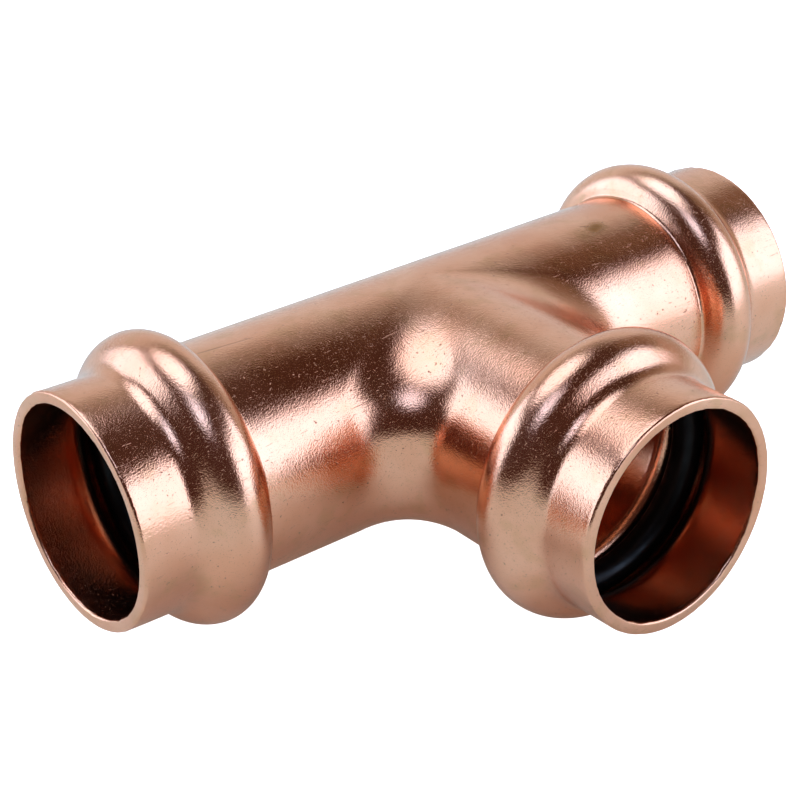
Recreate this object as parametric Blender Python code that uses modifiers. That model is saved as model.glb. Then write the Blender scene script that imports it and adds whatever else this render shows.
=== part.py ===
"""Equal tee for 22 mm copper tube, joined by pressing: one formed copper body and three rubber O-rings.

The run lies along X and the branch leaves towards -Y. The tee rests on its three beads, so the origin
is the centre of its box at the underside of the beads.
"""

from math import ceil, cos, pi, radians, sin, tan

import bmesh
import bpy
from mathutils import Matrix, Vector

# Driving sizes, in metres
TUBE_RADIUS = 0.0124          # outside of the run, the branch and the collars
WALL = 0.0013                 # copper, the same all over
RUN_HALF = 0.0439             # centre of the tee to each end of the run
BRANCH_LENGTH = 0.0378        # centre of the tee to the end of the branch

COLLAR_LENGTH = 0.0054        # straight stretch between the mouth and the bead
BEAD_HEIGHT = 0.00295         # crest of the bead above the tube
FRONT_SLOPE = radians(50)     # the bead's face towards the mouth
BACK_SLOPE = radians(72)      # the bead's face towards the centre
COLLAR_FILLET = 0.0024        # hollow where the collar meets the bead
CREST_FRONT_RADIUS = 0.0038
CREST_BACK_RADIUS = 0.0032
FOOT_FILLET = 0.0005          # hollow where the bead meets the tube
RIM_ROUNDING = 0.00035        # worn edges of each mouth

RUN_BLEND = 0.0138            # reach of the branch's blend along the run
BRANCH_BLEND = 0.0108         # reach of the blend along the branch
LEVEL_TIGHTNESS = 0.55        # share of both reaches lost where the blend is level with the axes
SHORTEST_STRAIGHT = 0.0003    # straight tube always left between the blend and a bead

SEAL_CLEARANCE = 0.0003       # between an O-ring and its chamber

# Fineness of the faces
AROUND = 40                   # faces around a tube, a multiple of 4
ARC_STEP = radians(20)        # most that one face of the bead's section turns
BLEND_STEPS = 6
RUN_STEPS = 3
BRANCH_STEPS = 2
SEAL_STEPS = 10
RIM_STEPS = 2
WELD = 1e-6

# The bead's section: arcs no larger than its height allows, and two straight slopes for the rest of it
CREST_RADIUS = TUBE_RADIUS + BEAD_HEIGHT
CREST_FRONT = min(CREST_FRONT_RADIUS, BEAD_HEIGHT / (1 - cos(FRONT_SLOPE)) - COLLAR_FILLET)
CREST_BACK = min(CREST_BACK_RADIUS, BEAD_HEIGHT / (1 - cos(BACK_SLOPE)) - FOOT_FILLET)
FRONT_ARCS = COLLAR_FILLET + CREST_FRONT
BACK_ARCS = FOOT_FILLET + CREST_BACK
FRONT_RISE = BEAD_HEIGHT - FRONT_ARCS * (1 - cos(FRONT_SLOPE))
BACK_FALL = BEAD_HEIGHT - BACK_ARCS * (1 - cos(BACK_SLOPE))
CREST_DEPTH = COLLAR_LENGTH + FRONT_ARCS * sin(FRONT_SLOPE) + FRONT_RISE / tan(FRONT_SLOPE)
FOOT_DEPTH = CREST_DEPTH + BACK_ARCS * sin(BACK_SLOPE) + BACK_FALL / tan(BACK_SLOPE)

# An O-ring lies in the hollow of its bead's crest
SEAL_RADIUS = CREST_RADIUS - CREST_BACK
SEAL_SECTION = CREST_BACK - WALL - SEAL_CLEARANCE

# The blend ends before the beads begin
RUN_REACH = min(RUN_BLEND, RUN_HALF - FOOT_DEPTH - TUBE_RADIUS - SHORTEST_STRAIGHT)
BRANCH_REACH = min(BRANCH_BLEND, BRANCH_LENGTH - FOOT_DEPTH - TUBE_RADIUS - SHORTEST_STRAIGHT)

# Where the run and the branch cross, and each port's direction and length from there
CROSSING = Vector((0, (BRANCH_LENGTH - CREST_RADIUS) / 2, CREST_RADIUS))
PORTS = {
    "run_left": (Vector((-1, 0, 0)), RUN_HALF),
    "run_right": (Vector((1, 0, 0)), RUN_HALF),
    "branch": (Vector((0, -1, 0)), BRANCH_LENGTH),
}


def clear_scene():
    for item in list(bpy.data.objects):
        bpy.data.objects.remove(item, do_unlink=True)


def plain_finish(name, colour, metallic, roughness):
    material = bpy.data.materials.new(name)
    material.use_nodes = True
    shader = material.node_tree.nodes["Principled BSDF"]
    shader.inputs["Base Color"].default_value = (*colour, 1)
    shader.inputs["Metallic"].default_value = metallic
    shader.inputs["Roughness"].default_value = roughness
    return material


def piece(name, mesh, collection, material):
    mesh.materials.append(material)
    mesh.shade_smooth()
    item = bpy.data.objects.new(name, mesh)
    collection.objects.link(item)
    return item


def arc(centre, radius, start, end):
    """(depth, radius) points of an arc about centre, by angles from straight out of the tube."""
    steps = ceil(abs(end - start) / ARC_STEP)
    turns = [start + (end - start) * i / steps for i in range(steps + 1)]
    return [(centre[0] + radius * sin(turn), centre[1] + radius * cos(turn)) for turn in turns]


def socket_section():
    """The outside of a socket, from its mouth to the foot of its bead, as (depth, radius) points."""
    collar_end = (COLLAR_LENGTH, TUBE_RADIUS + COLLAR_FILLET)
    crest_front = (CREST_DEPTH, CREST_RADIUS - CREST_FRONT)
    crest_back = (CREST_DEPTH, CREST_RADIUS - CREST_BACK)
    foot = (FOOT_DEPTH, TUBE_RADIUS + FOOT_FILLET)
    points = [(0, TUBE_RADIUS)]
    points += arc(collar_end, COLLAR_FILLET, pi, pi - FRONT_SLOPE)
    points += arc(crest_front, CREST_FRONT, -FRONT_SLOPE, 0)
    points += arc(crest_back, CREST_BACK, 0, BACK_SLOPE)[1:]
    points += arc(foot, FOOT_FILLET, pi + BACK_SLOPE, pi)
    return points


def seal_section():
    """The round section of an O-ring, as (depth, radius) points."""
    turns = [2 * pi * i / SEAL_STEPS for i in range(SEAL_STEPS)]
    centre, radius = (CREST_DEPTH, SEAL_RADIUS), SEAL_SECTION
    return [(centre[0] + radius * sin(turn), centre[1] + radius * cos(turn)) for turn in turns]


def turned(points, closed=False):
    """A mesh of (depth, radius) points turned about Z, with depth running down from z = 0."""
    edges = [(i, i + 1) for i in range(len(points) - 1)]
    if closed:
        edges.append((len(points) - 1, 0))
    section = bpy.data.meshes.new("section")
    section.from_pydata([(radius, 0, -depth) for depth, radius in points], edges, [])
    guide = bpy.data.objects.new("section", section)
    bpy.context.scene.collection.objects.link(guide)
    screw = guide.modifiers.new("turn", "SCREW")
    screw.steps = screw.render_steps = AROUND
    screw.use_merge_vertices = True
    screw.merge_threshold = WELD
    graph = bpy.context.evaluated_depsgraph_get()
    mesh = bpy.data.meshes.new_from_object(guide.evaluated_get(graph))
    bpy.data.objects.remove(guide, do_unlink=True)
    bpy.data.meshes.remove(section)
    return mesh


def at_port(port):
    """The place of a port: its Z runs out of the mouth, and z = 0 is the end face."""
    outward, length = PORTS[port]
    turn = outward.to_track_quat("Z", "Y").to_matrix().to_4x4()
    return Matrix.Translation(CROSSING + outward * length) @ turn


def blend_point(side, around, along):
    """A point of the blend between the run and the branch, measured from their crossing.

    around is the angle above the run's level, and along goes from 0 at the run to 1 at the branch.
    The section is an arc that touches both tubes, stretched where its two reaches differ.
    """
    level, height = cos(around), sin(around)
    off_run = Vector((0, level, -height))
    off_branch = Vector((-side * level, 0, -height))
    off = off_run.slerp(off_branch, along) if level > WELD else off_run
    kept = 1 - LEVEL_TIGHTNESS * level ** 4
    run_reach, branch_reach = RUN_REACH * kept, BRANCH_REACH * kept
    reach = run_reach + (branch_reach - run_reach) * along
    return Vector((
        side * TUBE_RADIUS * level + run_reach * (side * level + off.x),
        -TUBE_RADIUS * level + branch_reach * (off.y - level),
        TUBE_RADIUS * height + reach * (height + off.z),
    ))


def front_row(side, around):
    """Points from a run bead, along the run, over the blend and out to the branch bead."""
    level, height = TUBE_RADIUS * cos(around), TUBE_RADIUS * sin(around)
    run_end = Vector((side * (RUN_HALF - FOOT_DEPTH), -level, height))
    branch_end = Vector((side * level, FOOT_DEPTH - BRANCH_LENGTH, height))
    blend = [blend_point(side, around, i / BLEND_STEPS) for i in range(BLEND_STEPS + 1)]
    run = [run_end.lerp(blend[0], i / RUN_STEPS) for i in range(RUN_STEPS)]
    branch = [blend[-1].lerp(branch_end, i / BRANCH_STEPS) for i in range(1, BRANCH_STEPS + 1)]
    return run + blend + branch


def back_row(around):
    """Points along the plain back of the run, from one bead to the other."""
    level, height = TUBE_RADIUS * cos(around), TUBE_RADIUS * sin(around)
    step = (RUN_HALF - FOOT_DEPTH) / RUN_STEPS
    return [Vector((step * i, level, height)) for i in range(-RUN_STEPS, RUN_STEPS + 1)]


def add_sheet(cage, rows, flip):
    """Faces between neighbouring rows of points."""
    grid = [[cage.verts.new(CROSSING + point) for point in row] for row in rows]
    for low, high in zip(grid, grid[1:]):
        for i in range(len(low) - 1):
            corners = [low[i], low[i + 1], high[i + 1], high[i]]
            cage.faces.new(reversed(corners) if flip else corners)


def tee_body(collection, material):
    """The outer skin of the whole tee, given its wall inwards and rounded at the three rims."""
    cage = bmesh.new()
    for port in PORTS:
        socket = turned(socket_section())
        socket.transform(at_port(port))
        cage.from_mesh(socket)
        bpy.data.meshes.remove(socket)
    turns = [pi * (i * 2 / AROUND - 0.5) for i in range(AROUND // 2 + 1)]
    add_sheet(cage, [front_row(-1, turn) for turn in turns], flip=False)
    add_sheet(cage, [front_row(1, turn) for turn in turns], flip=True)
    add_sheet(cage, [back_row(turn) for turn in turns], flip=True)
    bmesh.ops.remove_doubles(cage, verts=cage.verts, dist=WELD)
    bmesh.ops.dissolve_degenerate(cage, edges=cage.edges, dist=WELD)
    rim_weight = cage.edges.layers.float.new("bevel_weight_edge")
    for edge in cage.edges:
        edge[rim_weight] = float(edge.is_boundary)
    mesh = bpy.data.meshes.new("tee_body")
    cage.to_mesh(mesh)
    cage.free()

    body = piece("tee_body", mesh, collection, material)
    wall = body.modifiers.new("wall", "SOLIDIFY")
    wall.thickness = WALL
    wall.offset = -1
    wall.use_even_offset = True
    rim = body.modifiers.new("rim", "BEVEL")
    rim.width = RIM_ROUNDING
    rim.segments = RIM_STEPS
    rim.limit_method = "WEIGHT"


def seal(port, collection, material):
    """An O-ring in the chamber inside a port's bead."""
    ring = piece("seal_" + port, turned(seal_section(), closed=True), collection, material)
    ring.matrix_world = at_port(port)


clear_scene()
tee = bpy.data.collections.new("press_tee")
bpy.context.scene.collection.children.link(tee)
tee_body(tee, plain_finish("satin_copper", (0.80, 0.45, 0.33), 1.0, 0.28))
black_rubber = plain_finish("black_rubber", (0.012, 0.012, 0.014), 0.0, 0.32)
for port in PORTS:
    seal(port, tee, black_rubber)
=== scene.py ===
from math import atan2, ceil, cos, pi, radians, sin, tan

import bmesh
import bpy
from mathutils import Matrix, Vector, noise


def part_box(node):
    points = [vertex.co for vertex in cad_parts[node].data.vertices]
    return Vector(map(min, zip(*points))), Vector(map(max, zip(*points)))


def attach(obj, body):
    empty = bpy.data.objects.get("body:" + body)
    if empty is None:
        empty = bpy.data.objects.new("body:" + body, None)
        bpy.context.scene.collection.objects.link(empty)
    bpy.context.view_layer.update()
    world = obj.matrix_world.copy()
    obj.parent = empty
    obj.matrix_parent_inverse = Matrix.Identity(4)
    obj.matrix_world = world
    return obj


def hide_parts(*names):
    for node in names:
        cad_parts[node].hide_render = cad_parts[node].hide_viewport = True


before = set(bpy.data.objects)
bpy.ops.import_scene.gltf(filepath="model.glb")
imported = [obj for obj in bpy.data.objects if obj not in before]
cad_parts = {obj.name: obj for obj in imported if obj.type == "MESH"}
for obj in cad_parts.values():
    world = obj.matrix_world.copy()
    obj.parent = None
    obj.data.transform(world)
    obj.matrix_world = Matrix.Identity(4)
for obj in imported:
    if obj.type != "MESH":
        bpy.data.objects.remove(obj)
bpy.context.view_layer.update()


# ---- The tee's body ------------------------------------------------------------------------------
# The run, the branch, the three beads and the three collars are one length of drawn copper tube. The
# branch is pushed out by water pressure inside a die, which leaves a broad blend and a plain back.
# The beads are rolled outwards afterwards, the mouths are cut square, and the acid bath leaves it satin.

MM = 0.001

# The overall sizes come from the frame; the rest are the body's own.
low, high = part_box("tee_body")
CREST_RADIUS = (high.z - low.z) / 2
CROSSING = Vector(((low.x + high.x) / 2, high.y - CREST_RADIUS, low.z + CREST_RADIUS))
RUN_HALF = (high.x - low.x) / 2
BRANCH_LENGTH = CROSSING.y - low.y

BEAD_HEIGHT = 2.95 * MM
TUBE_RADIUS = CREST_RADIUS - BEAD_HEIGHT
WALL = 1.3 * MM
COLLAR_LENGTH = 5.4 * MM
FRONT_SLOPE = radians(50)
BACK_SLOPE = radians(72)
COLLAR_FILLET = 2.4 * MM
CREST_FRONT = 3.8 * MM
CREST_BACK = 3.2 * MM
FOOT_FILLET = 0.5 * MM
RIM_ROUNDING = 0.28 * MM
RUN_REACH = 13.8 * MM
BRANCH_REACH = 10.8 * MM
LEVEL_TIGHTNESS = 0.55

FRONT_RISE = BEAD_HEIGHT - (COLLAR_FILLET + CREST_FRONT) * (1 - cos(FRONT_SLOPE))
BACK_FALL = BEAD_HEIGHT - (FOOT_FILLET + CREST_BACK) * (1 - cos(BACK_SLOPE))
CREST_DEPTH = COLLAR_LENGTH + (COLLAR_FILLET + CREST_FRONT) * sin(FRONT_SLOPE) + FRONT_RISE / tan(FRONT_SLOPE)
FOOT_DEPTH = CREST_DEPTH + (FOOT_FILLET + CREST_BACK) * sin(BACK_SLOPE) + BACK_FALL / tan(BACK_SLOPE)

# How finely the skin is divided: faces around each tube, then along its arcs, blend and straights.
AROUND = 192
ARC_STEP = radians(5)
LONGEST_FACE = 0.7 * MM
BLEND_STEPS = 30
RUN_STEPS = 16
BRANCH_STEPS = 8
WELD = 1e-6

PORTS = {
    "run_left": (Vector((-1, 0, 0)), RUN_HALF),
    "run_right": (Vector((1, 0, 0)), RUN_HALF),
    "branch": (Vector((0, -1, 0)), BRANCH_LENGTH),
}


def arc(centre, radius, start, end):
    steps = ceil(abs(end - start) / ARC_STEP)
    turns = [start + (end - start) * i / steps for i in range(steps + 1)]
    return [(centre[0] + radius * sin(turn), centre[1] + radius * cos(turn)) for turn in turns]


def socket_section():
    """(depth, radius) points from the mouth to the foot of the bead, none further apart than a face."""
    corners = [(0, TUBE_RADIUS)]
    corners += arc((COLLAR_LENGTH, TUBE_RADIUS + COLLAR_FILLET), COLLAR_FILLET, pi, pi - FRONT_SLOPE)
    corners += arc((CREST_DEPTH, CREST_RADIUS - CREST_FRONT), CREST_FRONT, -FRONT_SLOPE, 0)
    corners += arc((CREST_DEPTH, CREST_RADIUS - CREST_BACK), CREST_BACK, 0, BACK_SLOPE)[1:]
    corners += arc((FOOT_DEPTH, TUBE_RADIUS + FOOT_FILLET), FOOT_FILLET, pi + BACK_SLOPE, pi)
    points = corners[:1]
    for start, end in zip(corners, corners[1:]):
        length = ((end[0] - start[0]) ** 2 + (end[1] - start[1]) ** 2) ** 0.5
        parts = max(1, ceil(length / LONGEST_FACE))
        for i in range(1, parts + 1):
            points.append(tuple(a + (b - a) * i / parts for a, b in zip(start, end)))
    return points


def port_place(port):
    """Z runs out of the mouth, and z = 0 is the end face."""
    outward, length = PORTS[port]
    turn = outward.to_track_quat("Z", "Y").to_matrix().to_4x4()
    return Matrix.Translation(CROSSING + outward * length) @ turn


def turned_rows(section, place):
    """Rows of points, one for each point of the section, turned about a port's axis."""
    spokes = [2 * pi * i / AROUND for i in range(AROUND + 1)]
    return [[place @ Vector((r * cos(a), r * sin(a), -d)) for a in spokes] for d, r in section]


def blend_point(side, around, along):
    """The hydroformed blend: an arc that touches the run and the branch, tightest level with the axes."""
    level, height = cos(around), sin(around)
    off_run = Vector((0, level, -height))
    off_branch = Vector((-side * level, 0, -height))
    off = off_run.slerp(off_branch, along) if level > WELD else off_run
    kept = 1 - LEVEL_TIGHTNESS * level ** 4
    run_reach, branch_reach = RUN_REACH * kept, BRANCH_REACH * kept
    reach = run_reach + (branch_reach - run_reach) * along
    return CROSSING + Vector((
        side * TUBE_RADIUS * level + run_reach * (side * level + off.x),
        -TUBE_RADIUS * level + branch_reach * (off.y - level),
        TUBE_RADIUS * height + reach * (height + off.z),
    ))


def front_row(side, around):
    level, height = TUBE_RADIUS * cos(around), TUBE_RADIUS * sin(around)
    run_end = CROSSING + Vector((side * (RUN_HALF - FOOT_DEPTH), -level, height))
    branch_end = CROSSING + Vector((side * level, FOOT_DEPTH - BRANCH_LENGTH, height))
    blend = [blend_point(side, around, i / BLEND_STEPS) for i in range(BLEND_STEPS + 1)]
    run = [run_end.lerp(blend[0], i / RUN_STEPS) for i in range(RUN_STEPS)]
    branch = [blend[-1].lerp(branch_end, i / BRANCH_STEPS) for i in range(1, BRANCH_STEPS + 1)]
    return run + blend + branch


def back_row(around):
    level, height = TUBE_RADIUS * cos(around), TUBE_RADIUS * sin(around)
    step = (RUN_HALF - FOOT_DEPTH) / RUN_STEPS
    return [CROSSING + Vector((step * i, level, height)) for i in range(-RUN_STEPS, RUN_STEPS + 1)]


def add_sheet(cage, rows, flip):
    grid = [[cage.verts.new(point) for point in row] for row in rows]
    for first, second in zip(grid, grid[1:]):
        for i in range(len(first) - 1):
            corners = [first[i], first[i + 1], second[i + 1], second[i]]
            cage.faces.new(reversed(corners) if flip else corners)


cage = bmesh.new()
for port in PORTS:
    add_sheet(cage, turned_rows(socket_section(), port_place(port)), flip=True)
quarter_turns = [pi * (2 * i / AROUND - 0.5) for i in range(AROUND // 2 + 1)]
add_sheet(cage, [front_row(-1, turn) for turn in quarter_turns], flip=False)
add_sheet(cage, [front_row(1, turn) for turn in quarter_turns], flip=True)
add_sheet(cage, [back_row(turn) for turn in quarter_turns], flip=True)
bmesh.ops.remove_doubles(cage, verts=cage.verts, dist=WELD)
bmesh.ops.dissolve_degenerate(cage, edges=cage.edges, dist=WELD)
bmesh.ops.recalc_face_normals(cage, faces=cage.faces)

# Forming leaves the skin a little uneven, always within its gauge, and cutting leaves each mouth a
# touch out of round, with three lobes that lie at a different angle on each port.
FORMING_WAVES = ((9 * MM, 0.022 * MM), (3.2 * MM, 0.007 * MM))
INWARD = 0.04 * MM
OUT_OF_ROUND = 0.09 * MM
LOBES = 3
LOBE_TURN = 2.1
cage.normal_update()
offsets = []
for vertex in cage.verts:
    rise = sum(depth * noise.noise(vertex.co / length) for length, depth in FORMING_WAVES) - INWARD
    for index, port in enumerate(PORTS):
        local = port_place(port).inverted() @ vertex.co
        near_mouth = max(0, 1 + local.z / COLLAR_LENGTH)
        if near_mouth and local.to_2d().length < CREST_RADIUS:
            angle = atan2(local.y, local.x)
            rise += OUT_OF_ROUND * near_mouth ** 2 * cos(LOBES * angle + LOBE_TURN * index)
    offsets.append(vertex.normal * rise)
for vertex, offset in zip(cage.verts, offsets):
    vertex.co += offset

rim_weight = cage.edges.layers.float.new("bevel_weight_edge")
for edge in cage.edges:
    edge[rim_weight] = float(edge.is_boundary)
skin = bpy.data.meshes.new("tee_body_copper")
cage.to_mesh(skin)
cage.free()
guide = bpy.data.objects.new("tee_body_guide", skin)
bpy.context.scene.collection.objects.link(guide)
OUTSIDE, BORE, RIM, CHAMBER, BURR_EDGE = range(5)
for _ in (OUTSIDE, BORE, RIM, CHAMBER, BURR_EDGE):
    skin.materials.append(None)
wall = guide.modifiers.new("wall", "SOLIDIFY")
wall.thickness = WALL
wall.offset = -1
wall.use_even_offset = True
wall.material_offset = BORE
wall.material_offset_rim = RIM
rim = guide.modifiers.new("rim", "BEVEL")
rim.width = RIM_ROUNDING
rim.segments = 4
rim.limit_method = "WEIGHT"
rim.material = RIM
graph = bpy.context.evaluated_depsgraph_get()
body_mesh = bpy.data.meshes.new_from_object(guide.evaluated_get(graph))
bpy.data.objects.remove(guide, do_unlink=True)
tee = bpy.data.objects.new("tee_body_copper", body_mesh)
bpy.context.scene.collection.objects.link(tee)

# The saw and the deburring tool leave the rims slightly ragged, most of all along both edges.
BURR_DEPTH = 0.5 * MM
BURR = 0.07 * MM
LONG_RAGS = 0.8 * MM
SHORT_RAGS = 0.35 * MM
places = {port: port_place(port) for port in PORTS}
inverses = {port: place.inverted() for port, place in places.items()}
for vertex in body_mesh.vertices:
    for port, inverse in inverses.items():
        local = inverse @ vertex.co
        if local.z > -BURR_DEPTH:
            outward = Vector((local.x, local.y, 0)).normalized()
            rough = noise.noise(local / LONG_RAGS) + 0.5 * noise.noise(local / SHORT_RAGS)
            off_middle = abs(local.to_2d().length - TUBE_RADIUS + WALL / 2)
            edge_share = min(1, off_middle / (WALL / 2)) ** 3
            local += outward * BURR * rough * edge_share
            local.z = min(local.z, 0) - BURR * (0.4 + 0.6 * abs(rough)) * edge_share
            vertex.co = places[port] @ local
body_mesh.shade_smooth()


def linear(hex_colour):
    """An sRGB hex colour as linear values for a socket."""
    parts = [int(hex_colour[i:i + 2], 16) / 255 for i in (1, 3, 5)]
    return (*[p / 12.92 if p <= 0.04045 else ((p + 0.055) / 1.055) ** 2.4 for p in parts], 1)


def add(tree, kind, inputs=None, **settings):
    """Adds a node. An input that is a node or an output socket is linked, and any other is a value."""
    node = tree.nodes.new("ShaderNode" + kind)
    for name, value in settings.items():
        setattr(node, name, value)
    for key, value in (inputs or {}).items():
        if isinstance(value, bpy.types.Node):
            value = value.outputs[0]
        if isinstance(value, bpy.types.NodeSocket):
            tree.links.new(value, node.inputs[key])
        else:
            node.inputs[key].default_value = value
    return node


def new_material(name):
    material = bpy.data.materials.new(name)
    material.use_nodes = True
    tree = material.node_tree
    tree.nodes.clear()
    shader = add(tree, "BsdfPrincipled")
    add(tree, "OutputMaterial", {"Surface": shader})
    return material, tree, shader


def straight_nicks(tree, place, turn, length, width, share):
    """Short straight scratches: noise drawn out along one direction, of which the highest share shows."""
    turned = add(tree, "VectorRotate", {"Vector": place, "Rotation": turn}, rotation_type="EULER_XYZ")
    stretch = (1 / length, 1 / width, 1 / width)
    drawn = add(tree, "VectorMath", {0: turned, 1: stretch}, operation="MULTIPLY")
    streaks = add(tree, "TexNoise", {"Vector": drawn, "Scale": 1.0, "Detail": 1.0})
    return add(tree, "MapRange", {"Value": streaks, "From Min": 0.78 - share, "From Max": 0.86 - share},
               interpolation_type="SMOOTHSTEP")


def mark_along(tree, place, start, end, width):
    """1 on a straight mark between two points in mm from the tee's centre, 0 further away than width."""
    origin, along = CROSSING + Vector(start) * MM, (Vector(end) - Vector(start)) * MM
    offset = add(tree, "VectorMath", {0: place, 1: origin}, operation="SUBTRACT")
    share = add(tree, "VectorMath", {0: offset, 1: along / along.length_squared}, operation="DOT_PRODUCT")
    held = add(tree, "Clamp", {"Value": share.outputs["Value"]})
    foot = add(tree, "VectorMath", {0: along, "Scale": held}, operation="SCALE")
    away = add(tree, "VectorMath", {0: offset, 1: foot}, operation="DISTANCE")
    return add(tree, "MapRange", {
        "Value": away.outputs["Value"], "From Max": width, "To Min": 1.0, "To Max": 0.0,
    }, interpolation_type="SMOOTHSTEP")


def mark_metal(tree, height, colour, mask, depth, darkness, stain):
    """Sinks a mark into the surface and darkens it there."""
    height = add(tree, "Math", {0: mask, 1: -depth * MM, 2: height}, operation="MULTIPLY_ADD")
    share = add(tree, "Math", {0: mask, 1: darkness}, operation="MULTIPLY")
    return height, add(tree, "MixRGB", {"Fac": share, "Color1": colour, "Color2": linear(stain)})


# Satin copper, as it leaves the pickling bath: bright pink metal whose fine etched grain breaks the
# edge of every reflection into specks, under faint patches of brown film. The real grain is a few
# hundredths of a millimetre; it is drawn several times coarser so that it shows.
satin, tree, shader = new_material("satin_pickled_copper")
place = add(tree, "TexCoord").outputs["Object"]
patches = add(tree, "TexNoise", {"Vector": place, "Scale": 1 / (9 * MM), "Detail": 4.0})
tint = add(tree, "ValToRGB", {"Fac": patches})
tint.color_ramp.elements[0].position = 0.35
tint.color_ramp.elements[0].color = linear("#F0AE8B")
tint.color_ramp.elements[1].position = 0.68
tint.color_ramp.elements[1].color = linear("#FAC09F")
film = add(tree, "TexNoise", {"Vector": place, "Scale": 1 / (3 * MM), "Detail": 3.0})
film = add(tree, "MapRange", {"Value": film, "From Min": 0.5, "From Max": 0.72},
           interpolation_type="SMOOTHSTEP")
film = add(tree, "Math", {0: film, 1: 0.35}, operation="MULTIPLY")
colour = add(tree, "MixRGB", {"Fac": film, "Color1": tint, "Color2": linear("#D9A67A")})

# The surface's height in metres: the forming's orange peel, then two sizes of etched grain.
peel = add(tree, "TexNoise", {"Vector": place, "Scale": 1 / (1.1 * MM), "Detail": 1.0})
height = add(tree, "Math", {0: peel, 1: 0.008 * MM}, operation="MULTIPLY")
for size, depth in ((0.16, 0.022), (0.30, 0.012)):
    grain = add(tree, "TexNoise", {"Vector": place, "Scale": 1 / (size * MM), "Detail": 2.0})
    height = add(tree, "Math", {0: grain, 1: depth * MM, 2: height}, operation="MULTIPLY_ADD")

# Nicks of handling: the turn of each set, its length and width in mm, the share that shows and its
# depth in mm. Then the pits that the bath ate.
NICKS = (
    ((0.2, 0.3, 0.1), 1.6, 0.08, 0.055, 0.014),
    ((0.4, 0.9, 1.9), 1.1, 0.08, 0.055, 0.014),
    ((1.1, 0.2, 0.9), 0.8, 0.08, 0.055, 0.014),
    ((0.1, 0.1, 0.05), 6.0, 0.12, 0.06, 0.012),
)
for turn, length, width, share, depth in NICKS:
    nicks = straight_nicks(tree, place, turn, length * MM, width * MM, share)
    height, colour = mark_metal(tree, height, colour, nicks, depth, 0.15, "#7C4630")
pits = add(tree, "TexNoise", {"Vector": place, "Scale": 1 / (0.35 * MM), "Detail": 1.0})
pits = add(tree, "MapRange", {"Value": pits, "From Min": 0.72, "From Max": 0.8},
           interpolation_type="SMOOTHSTEP")
height, colour = mark_metal(tree, height, colour, pits, 0.03, 0.4, "#6E3F2A")

# Marks that this one tee carries: a die line and a draw line along the run, lines on the branch's flank
# and short scratches about the blend. Each has its two ends, its width and its darkness.
MARKS = (
    ((-28.8, 0.1, 12.4), (-22.7, -0.5, 12.4), 0.10, 0.6),
    ((-26.0, 3.5, 11.9), (-6.0, 3.2, 12.0), 0.08, 0.25),
    ((-12.1, -13.0, 3.9), (-12.1, -23.4, 4.2), 0.12, 0.3),
    ((-26.0, -11.9, 3.6), (-14.5, -12.2, 3.2), 0.10, 0.2),
    ((-9.1, -8.3, 9.3), (-8.2, -7.4, 9.9), 0.10, 0.5),
    ((-8.6, -8.9, 9.1), (-7.6, -8.2, 9.7), 0.08, 0.5),
    ((-9.6, -7.6, 9.4), (-8.4, -7.0, 10.1), 0.08, 0.5),
    ((11.6, -7.4, 10.1), (12.7, -6.8, 10.5), 0.12, 0.5),
    ((20.3, -4.0, 11.8), (24.4, -2.0, 12.3), 0.07, 0.4),
    ((20.9, -1.4, 12.3), (24.0, -3.4, 12.0), 0.07, 0.4),
)
for start, end, width, darkness in MARKS:
    mark = mark_along(tree, place, start, end, width * MM)
    height, colour = mark_metal(tree, height, colour, mark, 0.02, darkness, "#6E3F2A")

# A drop of the bath dried on top of the run and left an olive stain with a paler halo, a little duller.
halo = mark_along(tree, place, (20.0, -2.9, 12.0), (22.4, -2.4, 12.15), 2.4 * MM)
drop = mark_along(tree, place, (21.8, -2.5, 12.1), (22.5, -2.3, 12.2), 1.3 * MM)
dried = add(tree, "TexNoise", {"Vector": place, "Scale": 1 / (1.4 * MM), "Detail": 1.0})
dried = add(tree, "MapRange", {"Value": dried, "From Min": 0.15, "From Max": 0.45},
            interpolation_type="SMOOTHSTEP")
drop = add(tree, "Math", {0: drop, 1: dried}, operation="MULTIPLY")
for mask, strength, stain in ((halo, 0.3, "#C08F5C"), (drop, 0.75, "#B07A3C")):
    share = add(tree, "Math", {0: mask, 1: strength}, operation="MULTIPLY")
    colour = add(tree, "MixRGB", {"Fac": share, "Color1": colour, "Color2": linear(stain)})
gloss = add(tree, "MapRange", {
    "Value": patches, "From Min": 0.3, "From Max": 0.7, "To Min": 0.13, "To Max": 0.2,
}, interpolation_type="SMOOTHSTEP")
gloss = add(tree, "Math", {0: drop, 1: 0.2, 2: gloss}, operation="MULTIPLY_ADD")
bump = add(tree, "Bump", {"Height": height, "Distance": 1.0, "Strength": 1.0})
shader.inputs["Metallic"].default_value = 1.0
tree.links.new(colour.outputs["Color"], shader.inputs["Base Color"])
tree.links.new(gloss.outputs["Value"], shader.inputs["Roughness"])
tree.links.new(bump.outputs["Normal"], shader.inputs["Normal"])

# The bore: smoother, and painted a far darker, deeper red than the outside, as painted shade and painted
# light from its walls lighting each other.
bore, tree, shader = new_material("copper_bore_painted_shade")
place = add(tree, "TexCoord").outputs["Object"]
film = add(tree, "TexNoise", {"Vector": place, "Scale": 1 / (5 * MM), "Detail": 3.0})
tint = add(tree, "ValToRGB", {"Fac": film})
tint.color_ramp.elements[0].position = 0.35
tint.color_ramp.elements[0].color = linear("#922D15")
tint.color_ramp.elements[1].position = 0.7
tint.color_ramp.elements[1].color = linear("#A83B1C")
shader.inputs["Metallic"].default_value = 1.0
shader.inputs["Roughness"].default_value = 0.2
tree.links.new(tint.outputs["Color"], shader.inputs["Base Color"])

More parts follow.
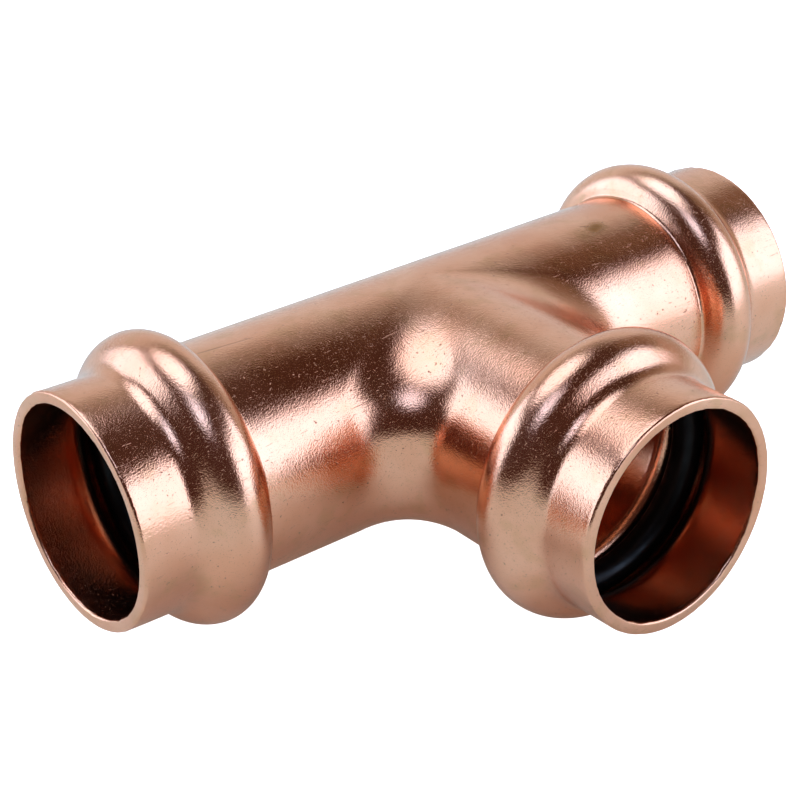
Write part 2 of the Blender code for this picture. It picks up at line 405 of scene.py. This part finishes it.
# The rims, cut and brushed with a deburring wheel: pale and nearly matt.
cut, tree, shader = new_material("deburred_copper_edge")
place = add(tree, "TexCoord").outputs["Object"]
brushing = add(tree, "TexNoise", {"Vector": place, "Scale": 1 / (0.3 * MM), "Detail": 2.0})
bump = add(tree, "Bump", {"Height": brushing, "Distance": 0.02 * MM, "Strength": 1.0})
shader.inputs["Metallic"].default_value = 1.0
shader.inputs["Roughness"].default_value = 0.6
shader.inputs["Base Color"].default_value = linear("#FAD5B7")
tree.links.new(bump.outputs["Normal"], shader.inputs["Normal"])

# The hollow behind each bead, where the greased rubber ring sits, painted near black and matt: painted shade,
# and the painted reflection of the black ring in its walls.
greased, tree, shader = new_material("copper_chamber_painted_shade")
shader.inputs["Roughness"].default_value = 0.6
shader.inputs["Base Color"].default_value = linear("#120C0A")

# The outer edge of each rim: pale cut copper with ragged near-black patches of painted shade, standing in for
# the dark that this edge reflects.
burr, tree, shader = new_material("rim_edge_painted_shade")
place = add(tree, "TexCoord").outputs["Object"]
broken = add(tree, "TexNoise", {"Vector": place, "Scale": 1 / (0.9 * MM), "Detail": 3.0})
broken = add(tree, "MapRange", {"Value": broken, "From Min": 0.36, "From Max": 0.46},
             interpolation_type="SMOOTHSTEP")
colour = add(tree, "MixRGB", {"Fac": broken, "Color1": linear("#F3C4A3"), "Color2": linear("#3A1E15")})
shader.inputs["Metallic"].default_value = 1.0
shader.inputs["Roughness"].default_value = 0.45
tree.links.new(colour.outputs["Color"], shader.inputs["Base Color"])

# Rim faces this close to the outer edge take the rim edge's painted shade.
BURR_WIDTH = 1.1 * RIM_ROUNDING
# Bore faces inside each bead's hollow, past this lip, take the chamber's painted shade.
CHAMBER_LIP = 0.08 * MM
for face in body_mesh.polygons:
    for inverse in inverses.values():
        local = inverse @ face.center
        off_axis = local.to_2d().length
        on_outer_edge = TUBE_RADIUS - BURR_WIDTH < off_axis < CREST_RADIUS
        in_bead = CHAMBER_LIP < off_axis - TUBE_RADIUS + WALL < BEAD_HEIGHT
        if face.material_index == RIM and local.z > -BURR_DEPTH and on_outer_edge:
            face.material_index = BURR_EDGE
        if face.material_index == BORE and local.z > -FOOT_DEPTH and in_bead:
            face.material_index = CHAMBER

body_mesh.materials.clear()
for material in (satin, bore, cut, greased, burr):
    body_mesh.materials.append(material)
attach(tee, "root")
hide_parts("tee_body")


# ---- The O-rings ---------------------------------------------------------------------------------
# Each port has one ring of moulded black EPDM rubber, pushed into the hollow behind its bead. It stands
# a little proud of the bore, so the tube squeezes it, and it is wet with silicone grease.

SEAL_CLEARANCE = 0.3 * MM
SEAL_SECTION = CREST_BACK - WALL - SEAL_CLEARANCE
SEAL_RADIUS = CREST_RADIUS - CREST_BACK
SEAL_STEPS = 40
FLASH = 0.05 * MM
FLASH_SHARPNESS = 60

# Greased EPDM: near black, with long soft highlights that break up where the grease is smeared.
rubber, tree, shader = new_material("greased_black_rubber")
place = add(tree, "TexCoord").outputs["Object"]
smear = add(tree, "TexNoise", {"Vector": place, "Scale": 1 / (1.6 * MM), "Detail": 3.0})
sheen = add(tree, "MapRange", {
    "Value": smear, "From Min": 0.35, "From Max": 0.65, "To Min": 0.28, "To Max": 0.5,
})
bump = add(tree, "Bump", {"Height": smear, "Distance": 0.05 * MM, "Strength": 1.0})
shader.inputs["Base Color"].default_value = linear("#0C0D0F")
shader.inputs["Specular IOR Level"].default_value = 0.35
tree.links.new(sheen.outputs["Result"], shader.inputs["Roughness"])
tree.links.new(bump.outputs["Normal"], shader.inputs["Normal"])


def seal_section():
    """A round section with the mould's thin parting line on its inner and outer edge."""
    points = []
    for i in range(SEAL_STEPS + 1):
        turn = 2 * pi * i / SEAL_STEPS
        radius = SEAL_SECTION - FLASH + FLASH * abs(cos(turn)) ** FLASH_SHARPNESS
        points.append((CREST_DEPTH + radius * sin(turn), SEAL_RADIUS + radius * cos(turn)))
    return points


for port in PORTS:
    cage = bmesh.new()
    add_sheet(cage, turned_rows(seal_section(), port_place(port)), flip=True)
    bmesh.ops.remove_doubles(cage, verts=cage.verts, dist=WELD)
    bmesh.ops.recalc_face_normals(cage, faces=cage.faces)
    ring_mesh = bpy.data.meshes.new("o_ring_" + port)
    cage.to_mesh(ring_mesh)
    cage.free()
    ring_mesh.shade_smooth()
    ring_mesh.materials.append(rubber)
    ring = bpy.data.objects.new("o_ring_" + port, ring_mesh)
    bpy.context.scene.collection.objects.link(ring)
    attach(ring, "root")
    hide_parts("seal_" + port)


# ---- Floor and backdrop --------------------------------------------------------------------------
# A white painted table and a white paper sweep around it. The table that shows in the metal stands in
# for the same table, with only a little of the extra light that whitens the one the eye sees.

TABLE_HALF = 6.0
SWEEP_RADIUS = 5.0


def flat_sheet(name, half, height, material):
    corners = [(x * half, y * half, height) for x, y in ((-1, -1), (1, -1), (1, 1), (-1, 1))]
    sheet = bpy.data.meshes.new(name)
    sheet.from_pydata(corners, [], [(0, 1, 2, 3)])
    sheet.materials.append(material)
    item = bpy.data.objects.new(name, sheet)
    bpy.context.scene.collection.objects.link(item)
    return item


white, tree, shader = new_material("white_table")
shader.inputs["Base Color"].default_value = linear("#FAFAFA")
shader.inputs["Roughness"].default_value = 0.7
shader.inputs["Emission Color"].default_value = (1, 1, 1, 1)
shader.inputs["Emission Strength"].default_value = 1.0
table = flat_sheet("table", TABLE_HALF, 0, white)
table.visible_glossy = False
table.visible_diffuse = False
table.visible_shadow = False

dimmer_white, tree, shader = new_material("table_in_reflections")
shader.inputs["Base Color"].default_value = linear("#F6FAEC")
shader.inputs["Emission Color"].default_value = (0.9, 1.11, 1.15, 1)
shader.inputs["Emission Strength"].default_value = 0.08
shader.inputs["Roughness"].default_value = 0.5
mirror_table = flat_sheet("table_in_reflections", TABLE_HALF, -0.1 * MM, dimmer_white)
mirror_table.visible_camera = False

backdrop, tree, shader = new_material("white_backdrop")
shader.inputs["Base Color"].default_value = (0, 0, 0, 1)
shader.inputs["Emission Color"].default_value = (1, 1, 1, 1)
shader.inputs["Emission Strength"].default_value = 1.0
cage = bmesh.new()
bmesh.ops.create_uvsphere(cage, u_segments=48, v_segments=24, radius=SWEEP_RADIUS)
sweep_mesh = bpy.data.meshes.new("backdrop")
cage.to_mesh(sweep_mesh)
cage.free()
sweep_mesh.materials.append(backdrop)
sweep = bpy.data.objects.new("backdrop", sweep_mesh)
bpy.context.scene.collection.objects.link(sweep)
sweep.visible_glossy = False
sweep.visible_diffuse = False
sweep.visible_shadow = False


# ---- Light ---------------------------------------------------------------------------------------
# A dim, warm room with daylight softboxes, pale walls and two round lights. A softbox or wall is given by
# its azimuth from -Y towards +X, its elevation, half its width and height, all in degrees, and its colour.

SOFTBOXES = {
    "key_front_right": (40, 15, 32, 27, (1.42, 1.75, 2.38)),
    "fill_back_left": (-141, 16, 27, 22, (1.34, 1.70, 2.30)),
    "wall_back_right": (150, 10, 38, 28, (0.58, 0.65, 0.71)),
    "wall_back_high": (150, 38, 38, 16, (0.28, 0.30, 0.30)),
    "wall_right": (93, 4, 21, 20, (0.42, 0.41, 0.40)),
    "wall_right_high": (98, 36, 16, 14, (0.22, 0.19, 0.16)),
}
SOFTBOX_EDGE = 4.0
# Round lights: azimuth, elevation, half their width, the softness of their edge, and their colour.
SPOTS = {
    "overhead_back": (-165, 70, 22, 5, (1.42, 1.75, 2.33)),
    "window_over_camera": (-55, 59, 12, 4, (1.25, 1.70, 2.60)),
}
ROOM = (0.070, 0.042, 0.037)

world = bpy.data.worlds.new("studio")
world.use_nodes = True
tree = world.node_tree
tree.nodes.clear()
gaze = add(tree, "TexCoord").outputs["Generated"]
direction = add(tree, "SeparateXYZ", {"Vector": gaze})
towards_front = add(tree, "Math", {0: direction.outputs["Y"], 1: -1.0}, operation="MULTIPLY")
azimuth = add(tree, "Math", {0: direction.outputs["X"], 1: towards_front}, operation="ARCTAN2")
elevation = add(tree, "Math", {0: direction.outputs["Z"]}, operation="ARCSINE")


def within(angle, centre, half):
    """1 where an angle lies nearer than half to the centre, in degrees, and 0 beyond a soft edge."""
    offset = add(tree, "Math", {0: angle, 1: radians(centre)}, operation="SUBTRACT")
    turned = add(tree, "Math", {0: offset, 1: pi, 2: -pi}, operation="WRAP")
    away = add(tree, "Math", {0: turned}, operation="ABSOLUTE")
    return add(tree, "MapRange", {
        "Value": away, "From Min": radians(half - SOFTBOX_EDGE), "From Max": radians(half + SOFTBOX_EDGE),
        "To Min": 1.0, "To Max": 0.0,
    }, interpolation_type="SMOOTHSTEP")


sky = (*ROOM, 1)
for turn, rise, half_width, half_height, colour in reversed(SOFTBOXES.values()):
    across, upright = within(azimuth, turn, half_width), within(elevation, rise, half_height)
    lit = add(tree, "Math", {0: across, 1: upright}, operation="MULTIPLY")
    sky = add(tree, "MixRGB", {"Fac": lit, "Color1": sky, "Color2": (*colour, 1)})
for turn, rise, half, edge, colour in SPOTS.values():
    turn, rise = radians(turn), radians(rise)
    middle = (sin(turn) * cos(rise), -cos(turn) * cos(rise), sin(rise))
    nearness = add(tree, "VectorMath", {0: gaze, 1: middle}, operation="DOT_PRODUCT")
    away = add(tree, "Math", {0: nearness.outputs["Value"]}, operation="ARCCOSINE")
    lit = add(tree, "MapRange", {
        "Value": away, "From Min": radians(half - edge), "From Max": radians(half + edge),
        "To Min": 1.0, "To Max": 0.0,
    }, interpolation_type="SMOOTHSTEP")
    sky = add(tree, "MixRGB", {"Fac": lit, "Color1": sky, "Color2": (*colour, 1)})
glow = add(tree, "Background", {"Color": sky})
add(tree, "OutputWorld", {"Surface": glow})
bpy.context.scene.world = world


# ---- Camera --------------------------------------------------------------------------------------
# A long lens from the front left and above, as for a catalogue picture.

CAMERA_PLACE = CROSSING + Vector((-121.06, -147.69, 100.16)) * MM
HEADING = radians(-37.96)
DIP = radians(28.31)
ROLL = radians(-1.09)
camera_data = bpy.data.cameras.new("camera")
camera_data.lens = 89.6
camera_data.sensor_width = 36.0
camera_data.shift_x = 0.0186
camera_data.clip_start = 0.01
camera = bpy.data.objects.new("camera", camera_data)
aim = Matrix.Rotation(HEADING, 4, "Z") @ Matrix.Rotation(pi / 2 - DIP, 4, "X") @ Matrix.Rotation(ROLL, 4, "Z")
camera.matrix_world = Matrix.Translation(CAMERA_PLACE) @ aim
bpy.context.scene.collection.objects.link(camera)
bpy.context.scene.camera = camera
bpy.context.scene.view_settings.view_transform = "Standard"
bpy.context.scene.view_settings.look = "Medium High Contrast"
